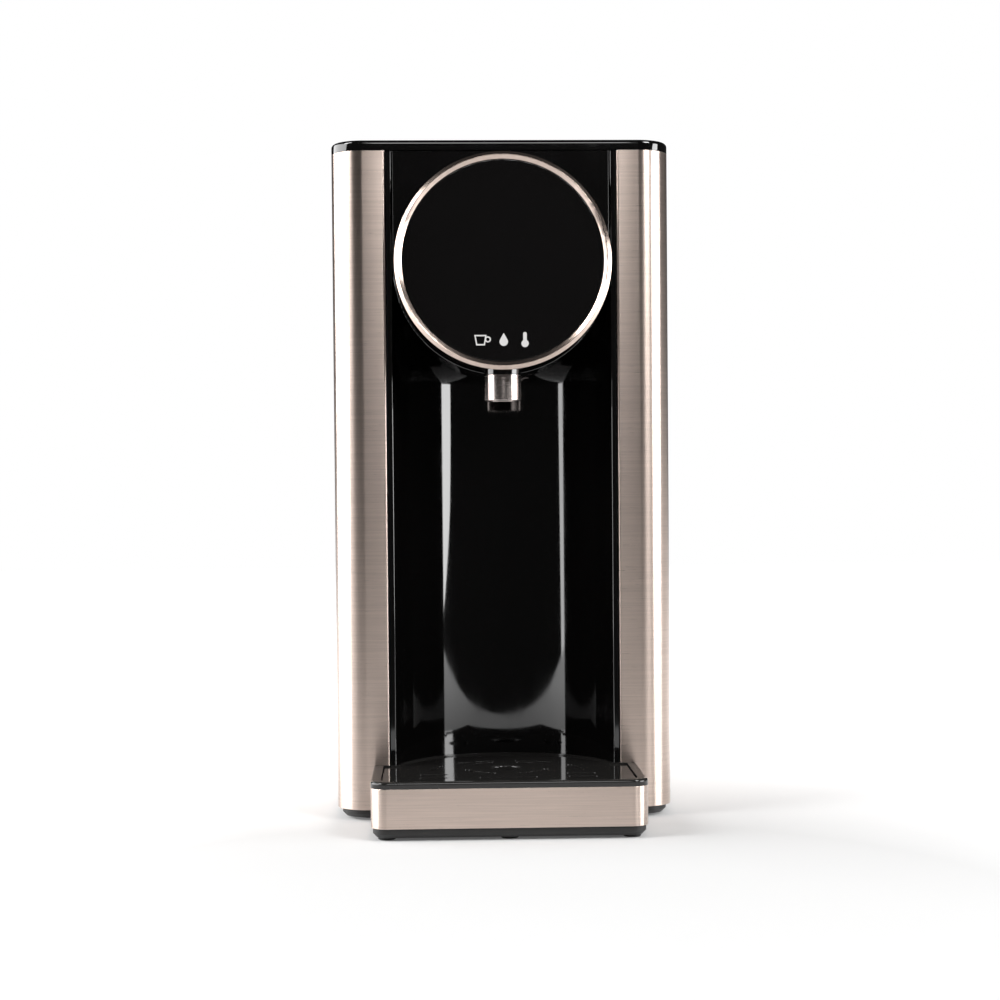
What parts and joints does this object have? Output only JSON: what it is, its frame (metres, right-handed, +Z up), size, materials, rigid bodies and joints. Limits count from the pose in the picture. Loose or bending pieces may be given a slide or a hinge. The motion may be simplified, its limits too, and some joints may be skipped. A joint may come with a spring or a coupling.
{
  "type": "countertop water dispenser",
  "caption": "Slim countertop hot-water dispenser with brushed-steel sides, a glossy niche, a round touch display over the nozzle, a pull-out drip tray and a lift-out rear tank.",
  "frame": {"origin": "on the worktop, under the centre of the bounding box", "axes": "+Z up along the object's height, -Y out of its front, +X to its right as seen from the front"},
  "size_m": [0.18, 0.282, 0.361],
  "materials": {
    "steel_brushed": "horizontal brushed grain",
    "nozzle_steel": "fine polished",
    "trim_metal": "satin champagne",
    "black_gloss": "high gloss",
    "black_tray": "semi-gloss",
    "black_satin": "fine satin",
    "display_glass": "polished",
    "print_white": "printed ink",
    "black_rubber": "matte",
    "tank_smoke": "polished smoke tint",
    "inner_plastic": "moulded",
    "valve_plastic": "moulded",
    "float_plastic": "moulded",
    "silicone": "satin",
    "heater_steel": "satin",
    "zinc_steel": "zinc plated",
    "board_green": "solder mask",
    "component_dark": "moulded",
    "component_yellow": "taped winding",
    "heatsink_aluminium": "extruded",
    "terminal_brass": "tinned tab",
    "cable_grey": "flat ribbon"
  },
  "bodies": {
    "casing": {"base_pan": "black_satin", "base_feet": "black_rubber", "side_panel_left": "steel_brushed", "side_panel_right": "steel_brushed", "chassis": "inner_plastic", "rear_cover": "black_satin", "cord_gland": "black_rubber", "case_screws": "zinc_steel", "niche_wall": "black_gloss", "head_shroud": "black_gloss", "head_drum": "black_gloss", "dial_ring": "trim_metal", "display_glass": "display_glass", "icon_print": "print_white", "display_board": "board_green", "display_leds": "component_dark", "nozzle_seat": "black_gloss", "nozzle_sleeve": "nozzle_steel", "nozzle_outlet": "silicone", "nozzle_seal": "black_rubber", "top_cover": "black_gloss", "dock_socket": "inner_plastic", "dock_seal": "black_rubber", "reed_sensor": "board_green", "pump_housing": "valve_plastic", "pump_motor": "zinc_steel", "pump_grommets": "black_rubber", "heater_tube": "heater_steel", "heater_caps": "inner_plastic", "heater_bracket": "zinc_steel", "thermal_cutouts": "component_dark", "heater_terminals": "terminal_brass", "temperature_probe": "heater_steel", "inlet_hose": "silicone", "feed_hose": "silicone", "hot_hose": "silicone", "power_board": "board_green", "board_standoffs": "valve_plastic", "relay": "component_dark", "transformer": "component_yellow", "triac_heatsink": "heatsink_aluminium", "capacitors": "component_dark", "terminal_block": "valve_plastic", "display_cable": "cable_grey"},
    "tank": {"tank_body": "tank_smoke", "tank_lid_pins": "heater_steel", "valve_body": "valve_plastic", "valve_spring": "heater_steel", "inlet_strainer": "valve_plastic", "float_cage": "valve_plastic"},
    "tank_cover": {"tank_lid": "black_gloss"},
    "poppet": {"valve_poppet": "valve_plastic", "valve_seal": "black_rubber"},
    "float": {"tank_float": "float_plastic"},
    "drip_tray": {"tray_base": "black_satin", "tray_basin": "black_tray", "tray_band": "steel_brushed", "tray_feet": "black_rubber"},
    "drip_plate": {"drip_grid": "black_tray"},
    "rotor": {"pump_rotor": "valve_plastic"}
  },
  "joints": [
    {"name": "tank_lift", "type": "slide", "parent": "casing", "child": "tank", "axis": [0, 0, 1], "range_m": [0, 0.3]},
    {"name": "tank_lid_hinge", "type": "hinge", "parent": "tank", "child": "tank_cover", "pos_m": [0, 0.1383, 0.3584], "axis": [-1, 0, 0], "range_deg": [0, 95]},
    {"name": "valve_slide", "type": "slide", "parent": "tank", "child": "poppet", "axis": [0, 0, 1], "range_m": [-0.003, 0], "deforming": ["valve_spring"]},
    {"name": "float_slide", "type": "slide", "parent": "tank", "child": "float", "axis": [0, 0, 1], "range_m": [0, 0.0165]},
    {"name": "tray_slide", "type": "slide", "parent": "casing", "child": "drip_tray", "axis": [0, -1, 0], "range_m": [0, 0.12]},
    {"name": "plate_lift", "type": "slide", "parent": "drip_tray", "child": "drip_plate", "axis": [0, 0, 1], "range_m": [0, 0.03]},
    {"name": "rotor_spin", "type": "hinge", "parent": "casing", "child": "rotor", "pos_m": [-0.055, 0.02, 0.026], "axis": [1, 0, 0], "continuous": true}
  ],
  "couplings": [
    {"joint": "valve_slide", "follows": "tank_lift", "ratio": -0.01}
  ]
}
